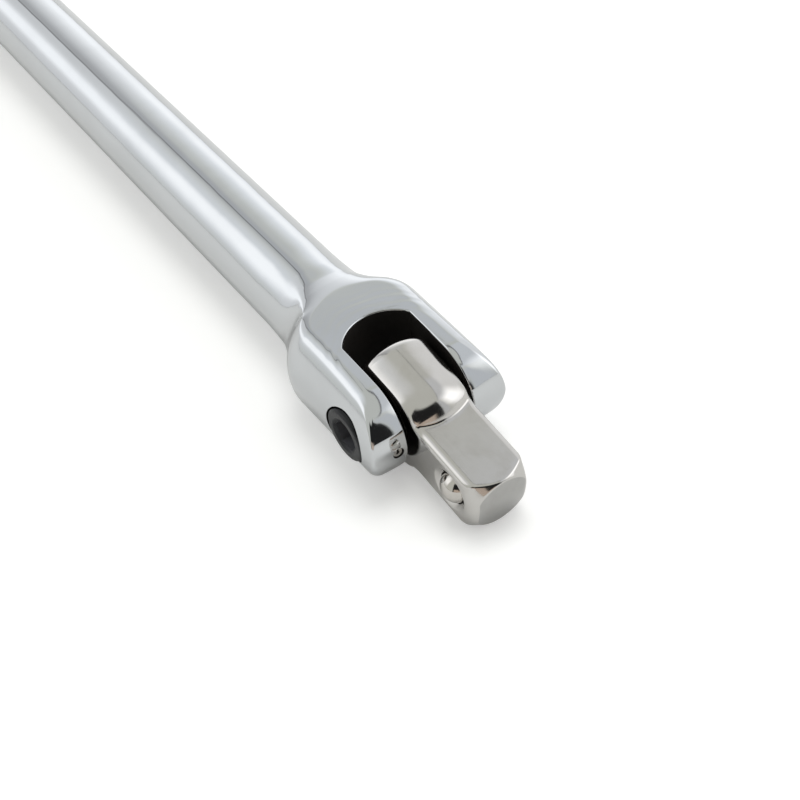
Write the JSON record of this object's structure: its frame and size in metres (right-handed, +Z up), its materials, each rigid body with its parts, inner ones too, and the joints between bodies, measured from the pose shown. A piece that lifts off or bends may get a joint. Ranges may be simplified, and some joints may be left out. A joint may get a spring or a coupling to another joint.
{
  "type": "flex-head breaker bar",
  "caption": "Long chromed steel handle with a forked end that carries a swivelling square drive with a sprung detent ball, for turning tight fasteners through a socket.",
  "frame": {"origin": "centre of the whole tool's footprint, at the height of its lowest point", "axes": "+X along the handle from the grip to the square, +Z up, and the swivel axis along Y with the screw head on the -Y side"},
  "size_m": [0.3803, 0.0308, 0.0223],
  "materials": {
    "polished_chrome": "mirror-polished chrome plate",
    "satin_plated_steel": "satin plate over forged and machined steel",
    "polished_steel": "polished bare steel",
    "spring_steel": "oiled spring steel",
    "black_oxide": "black oxide"
  },
  "bodies": {
    "handle": {"handle_forging": "polished_chrome", "pivot_screw": "black_oxide", "lock_pin": "polished_steel", "friction_washer_near": "spring_steel", "friction_washer_far": "spring_steel"},
    "drive": {"drive_head": "satin_plated_steel", "detent_spring": "spring_steel"},
    "ball": {"detent_ball": "polished_steel"}
  },
  "joints": [
    {"name": "head_swivel", "type": "hinge", "parent": "handle", "child": "drive", "pos_m": [0.16109, 0, 0.01136], "axis": [0, 1, 0], "range_deg": [-118, 102]},
    {"name": "ball_press", "type": "slide", "parent": "drive", "child": "ball", "axis": [0, 1, 0], "range_m": [0, 0.0014], "stiffness_N_per_m": 1500, "springref_m": -0.001, "deforming": ["detent_spring"]}
  ]
}
